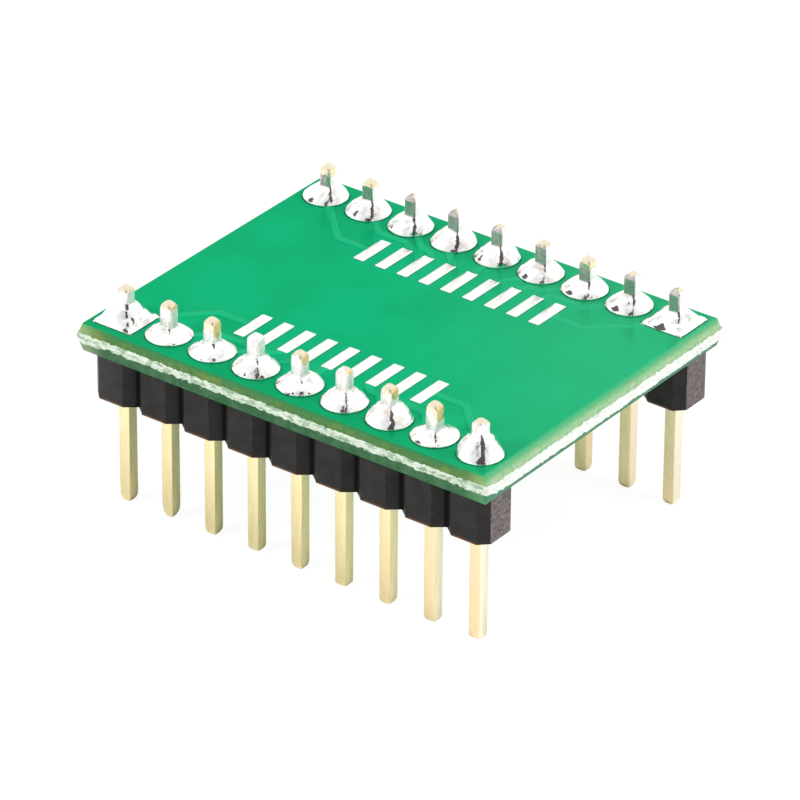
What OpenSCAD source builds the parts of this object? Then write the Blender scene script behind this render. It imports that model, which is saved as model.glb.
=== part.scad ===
// Adapter board that carries a wide small-outline chip on top and plugs into
// a dual in-line socket or breadboard through two rows of square pins.
// The part stands on its pin tips: Z is 0 there, X runs along the pin rows
// and Y from the front row to the back row. Millimetres.

/* [Pin rows] */
// Number of pins in each row
row_pins = 9; // [7:2:9]
// Distance from one pin to the next in a row
pin_pitch = 2.54; // [2.5:0.01:2.6]
// Distance between the centre lines of the two rows
row_gap = 15.24; // [15.0:0.02:16.5]

/* [Chip lands] */
// Distance from one chip land to the next
land_pitch = 1.27; // [1.15:0.01:1.35]
// Distance between the centre lines of the two rows of lands
land_gap = 9.16; // [8.8:0.02:9.4]
// Width of a land, along the row
land_w = 0.62; // [0.5:0.01:0.7]
// Length of a land, across the row
land_l = 2.25; // [1.8:0.01:2.4]

/* [Board] */
// Thickness of the board with its coatings
board_t = 1.5; // [1.2:0.05:1.8]
// From the last round pad to the end of the board's face
end_space = 0.29; // [0.15:0.01:1]
// From a row of round pads to the long edge of the board's face
side_space = 0.4; // [0.15:0.01:1]
// Depth of the V score that each edge was snapped along, from either face
score_depth = 0.45; // [0.3:0.01:0.55]
// How far the scored slope runs out over its depth
score_run = 0.18; // [0.1:0.01:0.3]
// How far the snapped web stands proud of the two slopes
web_proud = 0.06; // [0.02:0.01:0.15]
// Diameter of the drilled pin holes
hole_d = 1.1; // [1.06:0.01:1.2]

/* [Copper and coatings] */
// Thickness of the etched copper
copper_t = 0.05; // [0.03:0.01:0.07]
// Thickness of the copper plated inside a hole
plating_t = 0.05; // [0.03:0.01:0.06]
// Thickness of the solder mask
mask_t = 0.05; // [0.03:0.01:0.07]
// Thickness of the tin on a chip land
tin_t = 0.04; // [0.02:0.01:0.08]
// Gap between two neighbouring round pin pads
pad_space = 0.34; // [0.3:0.01:0.5]
// How much wider the square pad on the first pin of a row is than a round one
square_extra = 0.05; // [0:0.01:0.08]
// Width of a trace
trace_w = 0.3; // [0.2:0.01:0.32]
// Gap between a trace and the pads that it passes under
trace_gap = 0.17; // [0.12:0.01:0.18]
// Gap between bare metal and the edge of the mask around it
mask_gap = 0.05; // [0.03:0.01:0.08]
// Width of the mask that wraps down each side of a trace
mask_wrap = 0.08; // [0.04:0.01:0.1]

/* [Header strips] */
// Height of the plastic under the board
strip_h = 2.45; // [2:0.05:3]
// Width of the plastic, across the row
strip_w = 2.45; // [2.1:0.01:2.6]
// Size of the chamfer on each corner of a cell
cell_chamfer = 0.46; // [0.3:0.01:0.6]
// Flat at the bottom of the break notch between two cells
notch_flat = 0.2; // [0.1:0.01:0.3]

/* [Pins] */
// Side of the square pin
pin_w = 0.62; // [0.5:0.01:0.64]
// Length of a pin below the plastic
pin_below = 5.75; // [4:0.05:8]
// Length of a pin above the board
pin_above = 1.8; // [1.8:0.05:3]
// Length of the cut point at the lower end
point_l = 0.55; // [0.3:0.05:1]
// Side of the flat left on the lower end
point_w = 0.3; // [0.2:0.01:0.4]
// Length of the taper at the upper end
crown_l = 0.25; // [0.1:0.05:0.4]
// Side of the flat left on the upper end
crown_w = 0.4; // [0.3:0.01:0.48]

/* [Solder] */
// How far the solder stays inside the edge of its pad
solder_inset = 0.03; // [0:0.01:0.1]
// Thickness of the solder that coats the sides of a pin
solder_coat = 0.03; // [0.02:0.01:0.05]
// Roundness of a solder mound: 1 is a straight cone, less is more of a dome
mound_shape = 0.7; // [0.5:0.05:1]

/* [Hidden] */
// Height of the solder mound on each pad, in pin order
mound = [0.95, 0.5, 0.55, 0.7, 0.6, 0.7, 0.85, 0.4, 1.1,
         0.7, 0.7, 0.65, 0.7, 0.85, 0.8, 0.8, 0.8, 0.75];
// Height above its pad that each pin is coated to, in the same order
coated = [1.5, 1.4, 0.95, 1.5, 1.3, 1.4, 1.25, 0.85, 1.5,
          1.4, 1.3, 1.1, 1.35, 1.4, 1.35, 1.4, 1.3, 1.2];

pin_count = 2 * row_pins;
pad_d = pin_pitch - pad_space;
square_pad = pad_d + square_extra;
end_margin = pad_d / 2 + end_space;
side_margin = pad_d / 2 + side_space;
coat_t = max(copper_t, mask_t);
board_bottom = pin_below + strip_h;
laminate_bottom = board_bottom + coat_t;
laminate_top = board_bottom + board_t - coat_t;
copper_top = laminate_top + copper_t;
board_top = board_bottom + board_t;
pin_top = board_top + pin_above;
face_l = (row_pins - 1) * pin_pitch + 2 * end_margin;
face_w = row_gap + 2 * side_margin;
outer_l = face_l + 2 * (score_run + web_proud);
outer_w = face_w + 2 * (score_run + web_proud);
land_end = land_gap / 2 + land_l / 2;
row_y = row_gap / 2;
lane_y = row_y - pad_d / 2 - trace_gap - trace_w / 2;
bore_r = hole_d / 2 - plating_t;
// Stretch of trace that leaves a land before it turns
lead_out = 0.1;
// A trace starts this far inside its land
land_overlap = 0.2;
// Lane traces aim this far short of the pad's centre
aim_short = 0.25;
// Cutters run past the faces that they cut by this much
past = 1;
$fn = 64;

// Pins count along the front row and back along the back row.
function side(n) = n <= row_pins ? -1 : 1;
function column(n) = (n <= row_pins ? n : pin_count + 1 - n) - (row_pins + 1) / 2;
function is_square(n) = n == 1 || n == row_pins + 1;
function pin_x(n) = column(n) * pin_pitch;
function pin_y(n) = side(n) * row_y;
function land_x(n) = column(n) * land_pitch;

// Route of one trace from its land to its pin, with Y counted outwards.
// The middle trace runs straight, its neighbours take one slant, the next
// ones pass under a pad in a lane, and the last leaves its land sideways.
function trace_route(n) =
    let (
        offset = abs(column(n)),
        way = sign(column(n)),
        from = abs(land_x(n)),
        to = abs(pin_x(n)),
        last = (row_pins - 1) / 2,
        turn_y = land_end + lead_out,
        short = to - aim_short,
        route =
            offset == 0 ? [[0, land_end - land_overlap], [0, row_y]] :
            offset == last ? [
                [from, land_gap / 2],
                [to - (row_y - land_gap / 2), land_gap / 2],
                [to, row_y]
            ] :
            offset == 1 ? [
                [from, land_end - land_overlap],
                [from, turn_y],
                [to, turn_y + to - from],
                [to, row_y]
            ] : [
                [from, land_end - land_overlap],
                [from, turn_y],
                [from + lane_y - turn_y, lane_y],
                [short - (row_y - lane_y), lane_y],
                [short, row_y]
            ]
    )
    [for (p = route) [way == 0 ? p[0] : way * p[0], p[1]]];

// Outline of a line of the given width along a route, with mitred turns.
function unit(v) = v / norm(v);
function left_of(v) = [-v[1], v[0]];
function edge_normal(route, i) = left_of(unit(route[i + 1] - route[i]));
function mitre(route, i) =
    let (
        before = edge_normal(route, max(i - 1, 0)),
        after = edge_normal(route, min(i, len(route) - 2))
    )
    (before + after) / (1 + before * after);
function line_outline(route, w) = concat(
    [for (i = [0:len(route) - 1]) route[i] + mitre(route, i) * w / 2],
    [for (i = [len(route) - 1:-1:0]) route[i] - mitre(route, i) * w / 2]
);

module at_pin(n) {
    translate([pin_x(n), pin_y(n), 0]) children();
}

module slab(z, t) {
    translate([0, 0, z]) linear_extrude(t) children();
}

module pad_shape(n, grow = 0) {
    at_pin(n)
        if (is_square(n)) square(square_pad + 2 * grow, center = true);
        else circle(d = pad_d + 2 * grow);
}

module land_shape(n, grow = 0) {
    translate([land_x(n), side(n) * land_gap / 2])
        square([land_w + 2 * grow, land_l + 2 * grow], center = true);
}

module trace_shape(n, w) {
    scale_y = side(n);
    polygon([for (p = line_outline(trace_route(n), w)) [p[0], scale_y * p[1]]]);
}

module face_shape() {
    square([face_l, face_w], center = true);
}

// Section of the laminate across one direction: a face, the scored slope
// down to the snapped web, and the same again from below.
module scored_section(face) {
    half = face / 2;
    slope = half + score_run;
    web = slope + web_proud;
    upper = laminate_top - score_depth;
    lower = laminate_bottom + score_depth;
    right = [
        [half, laminate_bottom], [slope, lower], [web, lower],
        [web, upper], [slope, upper], [half, laminate_top]
    ];
    polygon(concat(right, [for (i = [len(right) - 1:-1:0]) [-right[i][0], right[i][1]]]));
}

module laminate() {
    color("olivedrab")
        difference() {
            intersection() {
                rotate([90, 0, 0])
                    linear_extrude(outer_w, center = true) scored_section(face_l);
                rotate([90, 0, 90])
                    linear_extrude(outer_l, center = true) scored_section(face_w);
            }
            for (n = [1:pin_count])
                at_pin(n) translate([0, 0, board_bottom - past])
                    cylinder(h = board_t + 2 * past, d = hole_d);
        }
}

// The mask is a thin coat that rises over each trace, and it is open round
// the pads and the chip lands.
module mask_top() {
    color("mediumseagreen")
        difference() {
            union() {
                slab(laminate_top, mask_t) face_shape();
                for (n = [1:pin_count])
                    slab(laminate_top, copper_t + mask_t)
                        trace_shape(n, trace_w + 2 * mask_wrap);
            }
            for (n = [1:pin_count]) {
                slab(laminate_top, copper_t) trace_shape(n, trace_w);
                slab(laminate_top - past, 2 * past) pad_shape(n, mask_gap);
                slab(laminate_top - past, 2 * past) land_shape(n, mask_gap);
            }
        }
}

module mask_bottom() {
    color("seagreen")
        difference() {
            slab(laminate_bottom - mask_t, mask_t) face_shape();
            for (n = [1:pin_count])
                slab(laminate_bottom - past, 2 * past) pad_shape(n, mask_gap);
        }
}

// One net: a tinned chip land, its trace, the pad on either face and the
// plated hole that joins them.
module net(n) {
    color("gainsboro")
        difference() {
            union() {
                slab(laminate_top, copper_t) {
                    land_shape(n);
                    trace_shape(n, trace_w);
                    pad_shape(n);
                }
                slab(copper_top, tin_t) land_shape(n);
                slab(laminate_bottom - copper_t, copper_t) pad_shape(n);
                at_pin(n) translate([0, 0, laminate_bottom])
                    cylinder(h = laminate_top - laminate_bottom, d = hole_d);
            }
            at_pin(n) translate([0, 0, board_bottom - past])
                cylinder(h = board_t + 2 * past, r = bore_r);
        }
}

// Half section of a solder joint: the fill of the hole, and a mound on the
// pad that narrows to a collar round the pin.
module solder_section(height) {
    foot_r = pad_d / 2 - solder_inset;
    collar_r = pin_w / 2 * sqrt(2) + solder_coat;
    fill_bottom = laminate_bottom - copper_t;
    steps = 8;
    profile = [
        for (i = [0:steps])
            [collar_r + (foot_r - collar_r) * pow(1 - i / steps, mound_shape), copper_top + height * i / steps]
    ];
    polygon(concat([[0, copper_top]], profile, [[0, copper_top + height]]));
    translate([0, fill_bottom]) square([bore_r, copper_top - fill_bottom]);
}

module solder(n) {
    coated_w = pin_w + 2 * solder_coat;
    color("silver")
        at_pin(n)
            difference() {
                union() {
                    rotate_extrude() solder_section(mound[n - 1]);
                    translate([-coated_w / 2, -coated_w / 2, copper_top])
                        cube([coated_w, coated_w, coated[n - 1]]);
                }
                translate([-pin_w / 2, -pin_w / 2, board_bottom - past])
                    cube([pin_w, pin_w, board_t + pin_above + past]);
            }
}

module pin_section() {
    side_line = [
        [point_w / 2, 0], [pin_w / 2, point_l],
        [pin_w / 2, pin_top - crown_l], [crown_w / 2, pin_top]
    ];
    polygon(concat(side_line, [for (i = [len(side_line) - 1:-1:0]) [-side_line[i][0], side_line[i][1]]]));
}

module pin(n) {
    color("goldenrod")
        at_pin(n)
            intersection() {
                rotate([90, 0, 0]) linear_extrude(pin_w, center = true) pin_section();
                rotate([90, 0, 90]) linear_extrude(pin_w, center = true) pin_section();
            }
}

// A strip of octagonal cells, one round each pin, with a notch between
// neighbours where it can be snapped.
module strip(row) {
    half_w = strip_w / 2;
    shoulder = pin_pitch / 2 - notch_flat / 2;
    edge = [
        for (k = [1:row_pins])
            for (p = [
                [-shoulder, half_w - cell_chamfer],
                [cell_chamfer - shoulder, half_w],
                [shoulder - cell_chamfer, half_w],
                [shoulder, half_w - cell_chamfer]
            ])
                [pin_x(k) + p[0], p[1]]
    ];
    color("dimgray")
        difference() {
            translate([0, row * row_y, pin_below])
                linear_extrude(strip_h)
                    polygon(concat(edge, [for (i = [len(edge) - 1:-1:0]) [edge[i][0], -edge[i][1]]]));
            for (n = [1:pin_count])
                if (side(n) == row)
                    at_pin(n) translate([-pin_w / 2, -pin_w / 2, pin_below - past])
                        cube([pin_w, pin_w, strip_h + 2 * past]);
        }
}

laminate();
mask_top();
mask_bottom();
strip(-1);  // strip_front
strip(1);  // strip_back
for (n = [1:pin_count]) {
    pin(n);
    solder(n);
    net(n);
}
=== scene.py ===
"""Looks of an adapter board with two rows of pins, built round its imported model."""

import math
import random

import bmesh
import bpy
import numpy as np
from mathutils import Matrix, Vector, noise


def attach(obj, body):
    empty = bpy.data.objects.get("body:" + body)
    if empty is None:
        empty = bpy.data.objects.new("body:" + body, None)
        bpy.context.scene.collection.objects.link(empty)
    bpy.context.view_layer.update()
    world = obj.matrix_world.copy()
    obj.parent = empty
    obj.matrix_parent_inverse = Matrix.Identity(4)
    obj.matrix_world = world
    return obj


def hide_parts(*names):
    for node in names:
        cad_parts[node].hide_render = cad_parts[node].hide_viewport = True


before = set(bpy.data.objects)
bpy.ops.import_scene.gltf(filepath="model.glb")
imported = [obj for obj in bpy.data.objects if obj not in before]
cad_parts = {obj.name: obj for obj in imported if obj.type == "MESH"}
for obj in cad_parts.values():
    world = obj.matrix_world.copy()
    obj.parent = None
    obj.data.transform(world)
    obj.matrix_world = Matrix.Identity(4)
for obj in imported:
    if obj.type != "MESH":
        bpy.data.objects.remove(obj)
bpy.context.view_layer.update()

MM = 0.001

# Sizes of the solids, in millimetres.
ROW_PINS = 9
PIN_COUNT = 18
PITCH = 2.54
ROW_Y = 7.62
LAND_PITCH = 1.27
LAND_Y = 4.58
LAND_W = 0.62
LAND_L = 2.25
BOARD_BOTTOM = 8.2
BOARD_TOP = 9.7
LAM_BOTTOM = 8.25
LAM_TOP = 9.65
COPPER_TOP = 9.7
TIN_TOP = 9.74
FACE_X = 11.55
FACE_Y = 9.12
SCORE_DEPTH = 0.45
SCORE_RUN = 0.18
WEB_PROUD = 0.06
# Share of the edge's reach that is left on both axes at a corner of the board, which is a little worn.
ROUNDED = 0.75
BORE_R = 0.5
PAD_R = 1.1
SQUARE_PAD = 2.25
# Gap between the mask and the metal that it goes round.
PAD_GAP = 0.055
LAND_GAP = 0.015
TRACE_W = 0.3
TRACE_GAP = 0.17
STRIP_BOTTOM = 5.75
STRIP_HALF = 1.225
CHAMFER = 0.46
NOTCH_FLAT = 0.2
PIN_W = 0.62
PIN_TOP = 11.5
MOUND = [0.95, 0.5, 0.55, 0.7, 0.6, 0.7, 0.85, 0.4, 1.1,
         0.7, 0.7, 0.65, 0.7, 0.85, 0.8, 0.8, 0.8, 0.75]
COAT_LEFT = [1.62, 1.5, 1.3, 1.9, 1.68, 1.9, 1.5, 1.45, 1.6,
             1.75, 1.7, 1.3, 1.66, 1.72, 1.78, 1.8, 1.5, 1.3]
COAT_RIGHT = [1.58, 1.45, 0.8, 1.9, 1.1, 1.5, 1.05, 0.85, 1.6,
              1.7, 1.66, 1.3, 1.6, 1.7, 1.74, 1.78, 1.45, 1.25]
BACK_SHIFT = 0.14
# Cut ends of the pins: half width at the very end, length of the taper, and what the cutter took off.
POINT = [(0.17, 0.36, 0.03), (0.1, 0.6, 0.01), (0.18, 0.34, 0.03), (0.25, 0.16, 0.12), (0.19, 0.32, 0.06),
         (0.26, 0.14, 0.1), (0.17, 0.3, 0.03), (0.22, 0.24, 0.07), (0.27, 0.1, 0.14),
         (0.18, 0.3, 0.03), (0.2, 0.26, 0.04), (0.22, 0.2, 0.06), (0.15, 0.4, 0.01), (0.2, 0.3, 0.04),
         (0.17, 0.34, 0.01), (0.22, 0.2, 0.06), (0.18, 0.3, 0.03), (0.2, 0.26, 0.05)]
# Dark marks on the mounds, those at a bearing near -46° (the side that faces the camera) being a painted reflection of
# the camera and its stand: bearing, reach from foot (0) to stub (1), and half width at either end.
FRONT_MARKS = {
    1: [(-46, 0.76, 1.0, 0.08, 0.11), (-33, 0.22, 0.44, 0.06, 0.07), (-52, 0.03, 0.17, 0.12, 0.06)],
    2: [(-48, 0.82, 1.0, 0.03, 0.07), (-40, 0.02, 0.1, 0.08, 0.03)],
    3: [(-44, 0.8, 1.0, 0.03, 0.08), (-80, 0.02, 0.08, 0.08, 0.03)],
    4: [(-45, 0.7, 0.86, 0.03, 0.06), (-82, 0.06, 0.2, 0.09, 0.04), (-38, 0.0, 0.14, 0.14, 0.04),
        (-140, 0.05, 0.2, 0.07, 0.03)],
    5: [(-46, 0.72, 0.86, 0.02, 0.04), (-140, 0.04, 0.3, 0.12, 0.04), (-72, 0.03, 0.14, 0.07, 0.03),
        (-28, 0.02, 0.14, 0.08, 0.03)],
    6: [(-46, 0.25, 1.0, 0.03, 0.03), (-60, 0.02, 0.14, 0.08, 0.03), (-150, 0.02, 0.2, 0.08, 0.03)],
    7: [(-46, 0.0, 0.9, 0.12, 0.04), (-50, 0.0, 0.12, 0.2, 0.12)],
    8: [(-52, 0.35, 0.95, 0.03, 0.04), (-100, 0.05, 0.26, 0.2, 0.06)],
    9: [(-48, 0.0, 0.95, 0.13, 0.06), (-52, 0.0, 0.2, 0.24, 0.16)]}
BACK_MARKS = {
    10: [(-46, 0.55, 1.0, 0.02, 0.06), (-96, 0.0, 0.34, 0.32, 0.05)],
    11: [(-46, 0.5, 1.0, 0.03, 0.08), (-98, 0.08, 0.34, 0.2, 0.08), (-50, 0.04, 0.12, 0.08, 0.05)],
    12: [(-46, 0.55, 1.0, 0.03, 0.07), (-102, 0.06, 0.3, 0.22, 0.08), (-38, 0.06, 0.14, 0.09, 0.04)],
    13: [(-44, 0.6, 1.0, 0.02, 0.05), (-104, 0.05, 0.3, 0.2, 0.08)],
    14: [(-46, 0.1, 1.0, 0.09, 0.04), (-110, 0.1, 0.4, 0.1, 0.04)],
    15: [(-46, 0.0, 1.0, 0.09, 0.05)],
    16: [(-46, 0.0, 1.0, 0.08, 0.05), (-120, 0.1, 0.3, 0.06, 0.03)],
    17: [(-44, 0.1, 1.0, 0.08, 0.05), (-92, 0.1, 0.4, 0.12, 0.05)],
    18: [(-40, 0.15, 1.0, 0.08, 0.04), (-100, 0.04, 0.24, 0.2, 0.06)]}


def side(n):
    return -1 if n <= ROW_PINS else 1


def column(n):
    return (n if n <= ROW_PINS else PIN_COUNT + 1 - n) - (ROW_PINS + 1) / 2


def is_square(n):
    return n in (1, ROW_PINS + 1)


def pin_at(n):
    return column(n) * PITCH, side(n) * ROW_Y


def wire_at(n):
    """Centre of a pin. The back strip was soldered in slightly off the middle of its holes."""
    x, y = pin_at(n)
    return x + (BACK_SHIFT if side(n) > 0 else 0.0), y


def land_at(n):
    return column(n) * LAND_PITCH, side(n) * LAND_Y


def blend(low, high, t):
    t = min(max((t - low) / (high - low), 0.0), 1.0)
    return t * t * (3 - 2 * t)


def wobble(x, y, z, octaves=3):
    return noise.fractal(Vector((x, y, z)), 0.6, 2.1, octaves)


# Materials. Object coordinates are the row frame in metres, scaled here to millimetres.
class Paint:
    def __init__(self, name):
        self.mat = bpy.data.materials.new(name)
        self.mat.use_nodes = True
        self.tree = self.mat.node_tree
        self.tree.nodes.clear()
        out = self.tree.nodes.new("ShaderNodeOutputMaterial")
        self.bsdf = self.tree.nodes.new("ShaderNodeBsdfPrincipled")
        self.tree.links.new(self.bsdf.outputs[0], out.inputs[0])
        coords = self.tree.nodes.new("ShaderNodeTexCoord")
        scale = self.tree.nodes.new("ShaderNodeMapping")
        scale.inputs["Scale"].default_value = (1000, 1000, 1000)
        self.tree.links.new(coords.outputs["Object"], scale.inputs["Vector"])
        self.mm = scale.outputs[0]

    def link(self, a, b):
        self.tree.links.new(a, b)
        return b

    def put(self, socket, value):
        if isinstance(value, bpy.types.NodeSocket):
            self.link(value, socket)
        else:
            socket.default_value = value

    def set(self, **values):
        for key, value in values.items():
            self.put(self.bsdf.inputs[key.replace("_", " ")], value)

    def stretched(self, x, y, z):
        node = self.tree.nodes.new("ShaderNodeMapping")
        node.inputs["Scale"].default_value = (x, y, z)
        self.link(self.mm, node.inputs["Vector"])
        return node.outputs[0]

    def noise(self, scale, detail=3.0, rough=0.55, vector=None):
        node = self.tree.nodes.new("ShaderNodeTexNoise")
        node.inputs["Scale"].default_value = scale
        node.inputs["Detail"].default_value = detail
        node.inputs["Roughness"].default_value = rough
        self.link(vector or self.mm, node.inputs["Vector"])
        return node.outputs["Fac"]

    def ramp(self, value, low, high, to_low=0.0, to_high=1.0, smooth=True):
        node = self.tree.nodes.new("ShaderNodeMapRange")
        node.interpolation_type = "SMOOTHSTEP" if smooth else "LINEAR"
        self.put(node.inputs["Value"], value)
        node.inputs["From Min"].default_value = low
        node.inputs["From Max"].default_value = high
        node.inputs["To Min"].default_value = to_low
        node.inputs["To Max"].default_value = to_high
        return node.outputs["Result"]

    def math(self, op, a, b=0.0):
        node = self.tree.nodes.new("ShaderNodeMath")
        node.operation = op
        self.put(node.inputs[0], a)
        self.put(node.inputs[1], b)
        return node.outputs[0]

    def mix(self, fac, a, b):
        node = self.tree.nodes.new("ShaderNodeMix")
        node.data_type = "RGBA"
        self.put(node.inputs["Factor"], fac)
        self.put(node.inputs[6], a if isinstance(a, bpy.types.NodeSocket) else (*a, 1))
        self.put(node.inputs[7], b if isinstance(b, bpy.types.NodeSocket) else (*b, 1))
        return node.outputs[2]

    def height(self):
        node = self.tree.nodes.new("ShaderNodeSeparateXYZ")
        self.link(self.mm, node.inputs[0])
        return node.outputs["Z"]

    def axis(self, name):
        node = self.tree.nodes.new("ShaderNodeSeparateXYZ")
        self.link(self.mm, node.inputs[0])
        return node.outputs[name]

    def normal_x(self):
        coords = self.tree.nodes.new("ShaderNodeTexCoord")
        node = self.tree.nodes.new("ShaderNodeSeparateXYZ")
        self.link(coords.outputs["Normal"], node.inputs[0])
        return node.outputs["X"]

    def bump(self, value, depth_mm, strength=1.0, under=None):
        node = self.tree.nodes.new("ShaderNodeBump")
        node.inputs["Strength"].default_value = strength
        node.inputs["Distance"].default_value = depth_mm * MM
        self.link(value, node.inputs["Height"])
        if under is not None:
            self.link(under, node.inputs["Normal"])
        return node.outputs[0]


def mask_paint():
    p = Paint("solder_mask")
    cloud = p.noise(0.22, 2.0)
    colour = p.mix(p.ramp(cloud, 0.35, 0.65), (0.005, 0.385, 0.16), (0.006, 0.425, 0.183))
    over_copper = p.ramp(p.height(), BOARD_TOP + 0.026, BOARD_TOP + 0.047)
    colour = p.mix(p.math("MULTIPLY", over_copper, 0.55), colour, (0.025, 0.51, 0.25))
    # Painted shade: the mask is darker along the rising sides of each trace.
    rising = p.ramp(p.height(), BOARD_TOP + 0.004, BOARD_TOP + 0.02)
    trace_side_shade = p.math("MULTIPLY", rising, p.math("SUBTRACT", 1.0, over_copper))
    colour = p.mix(p.math("MULTIPLY", trace_side_shade, 0.45), colour, (0.004, 0.31, 0.12))
    margin = p.ramp(p.axis("Y"), -FACE_Y, -FACE_Y + 1.9, 0.45, 0.0)
    colour = p.mix(margin, colour, (0.005, 0.31, 0.105))
    specks = p.ramp(p.noise(3.1, 5.0, 0.7), 0.72, 0.8)
    colour = p.mix(p.math("MULTIPLY", specks, 0.35), colour, (0.004, 0.27, 0.1))
    edge_x = p.math("ADD", p.axis("X"), p.math("MULTIPLY", p.math("SUBTRACT", p.noise(3.5, 4.0, 0.7), 0.5), 0.5))
    crazed = p.ramp(edge_x, FACE_X - 0.24, FACE_X - 0.02)
    colour = p.mix(p.math("MULTIPLY", crazed, 0.5), colour, (0.22, 0.56, 0.3))
    rough = p.ramp(p.noise(0.7, 4.0), 0.3, 0.7, 0.1, 0.18)
    # Painted reflection: the mask turns paler towards the right and back, standing in for the haze mirrored in it
    # there.
    along = p.math("ADD", p.math("MULTIPLY", p.axis("X"), 0.8), p.math("MULTIPLY", p.axis("Y"), 0.6))
    colour = p.mix(p.ramp(along, -2.0, 11.0, 0.0, 0.6), colour, (0.046, 0.45, 0.205))
    p.set(Base_Color=colour, Roughness=rough, Metallic=0.24)
    p.bsdf.inputs["Specular IOR Level"].default_value = 0.01
    p.bsdf.inputs["Specular Tint"].default_value = (0.08, 0.8, 0.4, 1)
    peel = p.bump(p.noise(1.8, 3.0), 0.004, 0.4)
    p.set(Normal=p.bump(p.noise(14.0, 2.0), 0.0015, 0.5, peel))
    return p.mat


def laminate_paint():
    p = Paint("laminate_face")
    weave = p.noise(2.2, 2.0)
    p.set(Base_Color=p.mix(weave, (0.02, 0.26, 0.1), (0.05, 0.3, 0.12)), Roughness=0.6)
    p.set(Normal=p.bump(p.noise(9.0), 0.004, 0.6))
    return p.mat


def slope_paint():
    p = Paint("scored_slope")
    z = p.height()
    right = p.ramp(p.axis("X"), FACE_X - 0.01, FACE_X + 0.03)
    ragged = p.math("MULTIPLY", p.math("SUBTRACT", p.noise(2.4, 4.0, 0.65), 0.5), 0.22)
    level = p.math("ADD", z, ragged)
    fibres = p.noise(1.0, 4.0, 0.7, p.stretched(5, 5, 16))
    resin = p.mix(p.ramp(fibres, 0.3, 0.7), (0.042, 0.175, 0.045), (0.11, 0.22, 0.07))
    yellowed = p.ramp(p.noise(1.1, 4.0, 0.65), 0.52, 0.66, 0.0, 0.55)
    resin = p.mix(yellowed, resin, (0.2, 0.3, 0.06))
    top_green = p.mix(p.noise(3.0), (0.01, 0.23, 0.065), (0.034, 0.22, 0.065))
    shaded = p.mix(p.ramp(level, LAM_TOP - 0.26, LAM_TOP - 0.04), resin, top_green)
    from_end = p.math("SUBTRACT", FACE_X, p.math("ABSOLUTE", p.axis("X")))
    front = p.math("SUBTRACT", 1.0, right)
    olive_end = p.math("MULTIPLY", p.ramp(from_end, 0.0, 2.2, 0.6, 0.0), front)
    bruised_end = p.math("MULTIPLY", p.ramp(from_end, 0.0, 1.1, 0.85, 0.0), front)
    shaded = p.mix(olive_end, shaded, (0.2, 0.25, 0.08))
    bruise = p.mix(p.ramp(level, LAM_TOP - 0.3, LAM_TOP - 0.05), (0.3, 0.44, 0.17), (0.15, 0.44, 0.13))
    shaded = p.mix(bruised_end, shaded, bruise)
    # Painted light: this paler copy is used on the right end of the slope, the side that faces the right lamp.
    pale = p.mix(p.ramp(fibres, 0.3, 0.7), (0.19, 0.42, 0.2), (0.36, 0.54, 0.31))
    pale = p.mix(p.ramp(p.noise(1.7, 4.0, 0.7), 0.5, 0.66, 0.0, 0.6), pale, (0.5, 0.48, 0.34))
    pale = p.mix(p.ramp(level, LAM_TOP - 0.36, LAM_TOP), pale, (0.085, 0.38, 0.16))
    upper = p.mix(right, shaded, pale)
    # Painted shade: the lower slope, which faces down, gets a darker green than the upper slope. At the right end it
    # gets a lighter copy, which is painted light.
    lower = p.mix(p.ramp(p.noise(2.0, 4.0), 0.35, 0.68), (0.013, 0.1, 0.03), (0.04, 0.15, 0.055))
    low_end = p.math("MULTIPLY", p.ramp(from_end, 0.0, 1.5, 0.9, 0.0), front)
    low_bruise = p.mix(p.ramp(p.axis("X"), -1.0, 1.0), (0.27, 0.36, 0.2), (0.07, 0.28, 0.1))
    lower = p.mix(low_end, lower, low_bruise)
    lower = p.mix(right, lower, (0.05, 0.2, 0.105))
    middle = (LAM_TOP + LAM_BOTTOM) / 2
    colour = p.mix(p.ramp(z, middle - 0.05, middle + 0.05), lower, upper)
    nicks = p.ramp(p.noise(5.0, 5.0, 0.7), 0.64, 0.74)
    colour = p.mix(p.math("MULTIPLY", nicks, 0.5), colour, (0.6, 0.7, 0.5))
    p.set(Base_Color=colour, Roughness=0.55)
    p.bsdf.inputs["Specular IOR Level"].default_value = 0.3
    grain = p.bump(fibres, 0.03, 0.8)
    p.set(Normal=p.bump(p.noise(12.0, 4.0, 0.7), 0.012, 0.7, grain))
    return p.mat


def web_paint():
    p = Paint("snapped_fibre")
    right = p.ramp(p.axis("X"), FACE_X - 0.01, FACE_X + 0.03)
    fibres = p.noise(1.0, 5.0, 0.72, p.stretched(4, 4, 11))
    white = p.mix(p.ramp(fibres, 0.3, 0.7), (0.62, 0.76, 0.58), (0.9, 0.96, 0.87))
    # Painted light: at the right end, the side that faces the right lamp, the web is paler and less stained.
    white = p.mix(p.math("MULTIPLY", right, 0.45), white, (0.87, 0.8, 0.88))
    stain = p.ramp(p.noise(1.0, 5.0, 0.7, p.stretched(1.6, 1.6, 4.5)), 0.48, 0.58)
    share = p.math("MULTIPLY", stain, p.math("SUBTRACT", 0.85, p.math("MULTIPLY", right, 0.75)))
    colour = p.mix(share, white, (0.26, 0.42, 0.25))
    p.set(Base_Color=colour, Roughness=0.85)
    p.bsdf.inputs["Specular IOR Level"].default_value = 0.2
    coarse = p.bump(fibres, 0.06, 0.9)
    p.set(Normal=p.bump(p.noise(16.0, 4.0, 0.7), 0.015, 0.8, coarse))
    return p.mat


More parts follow.
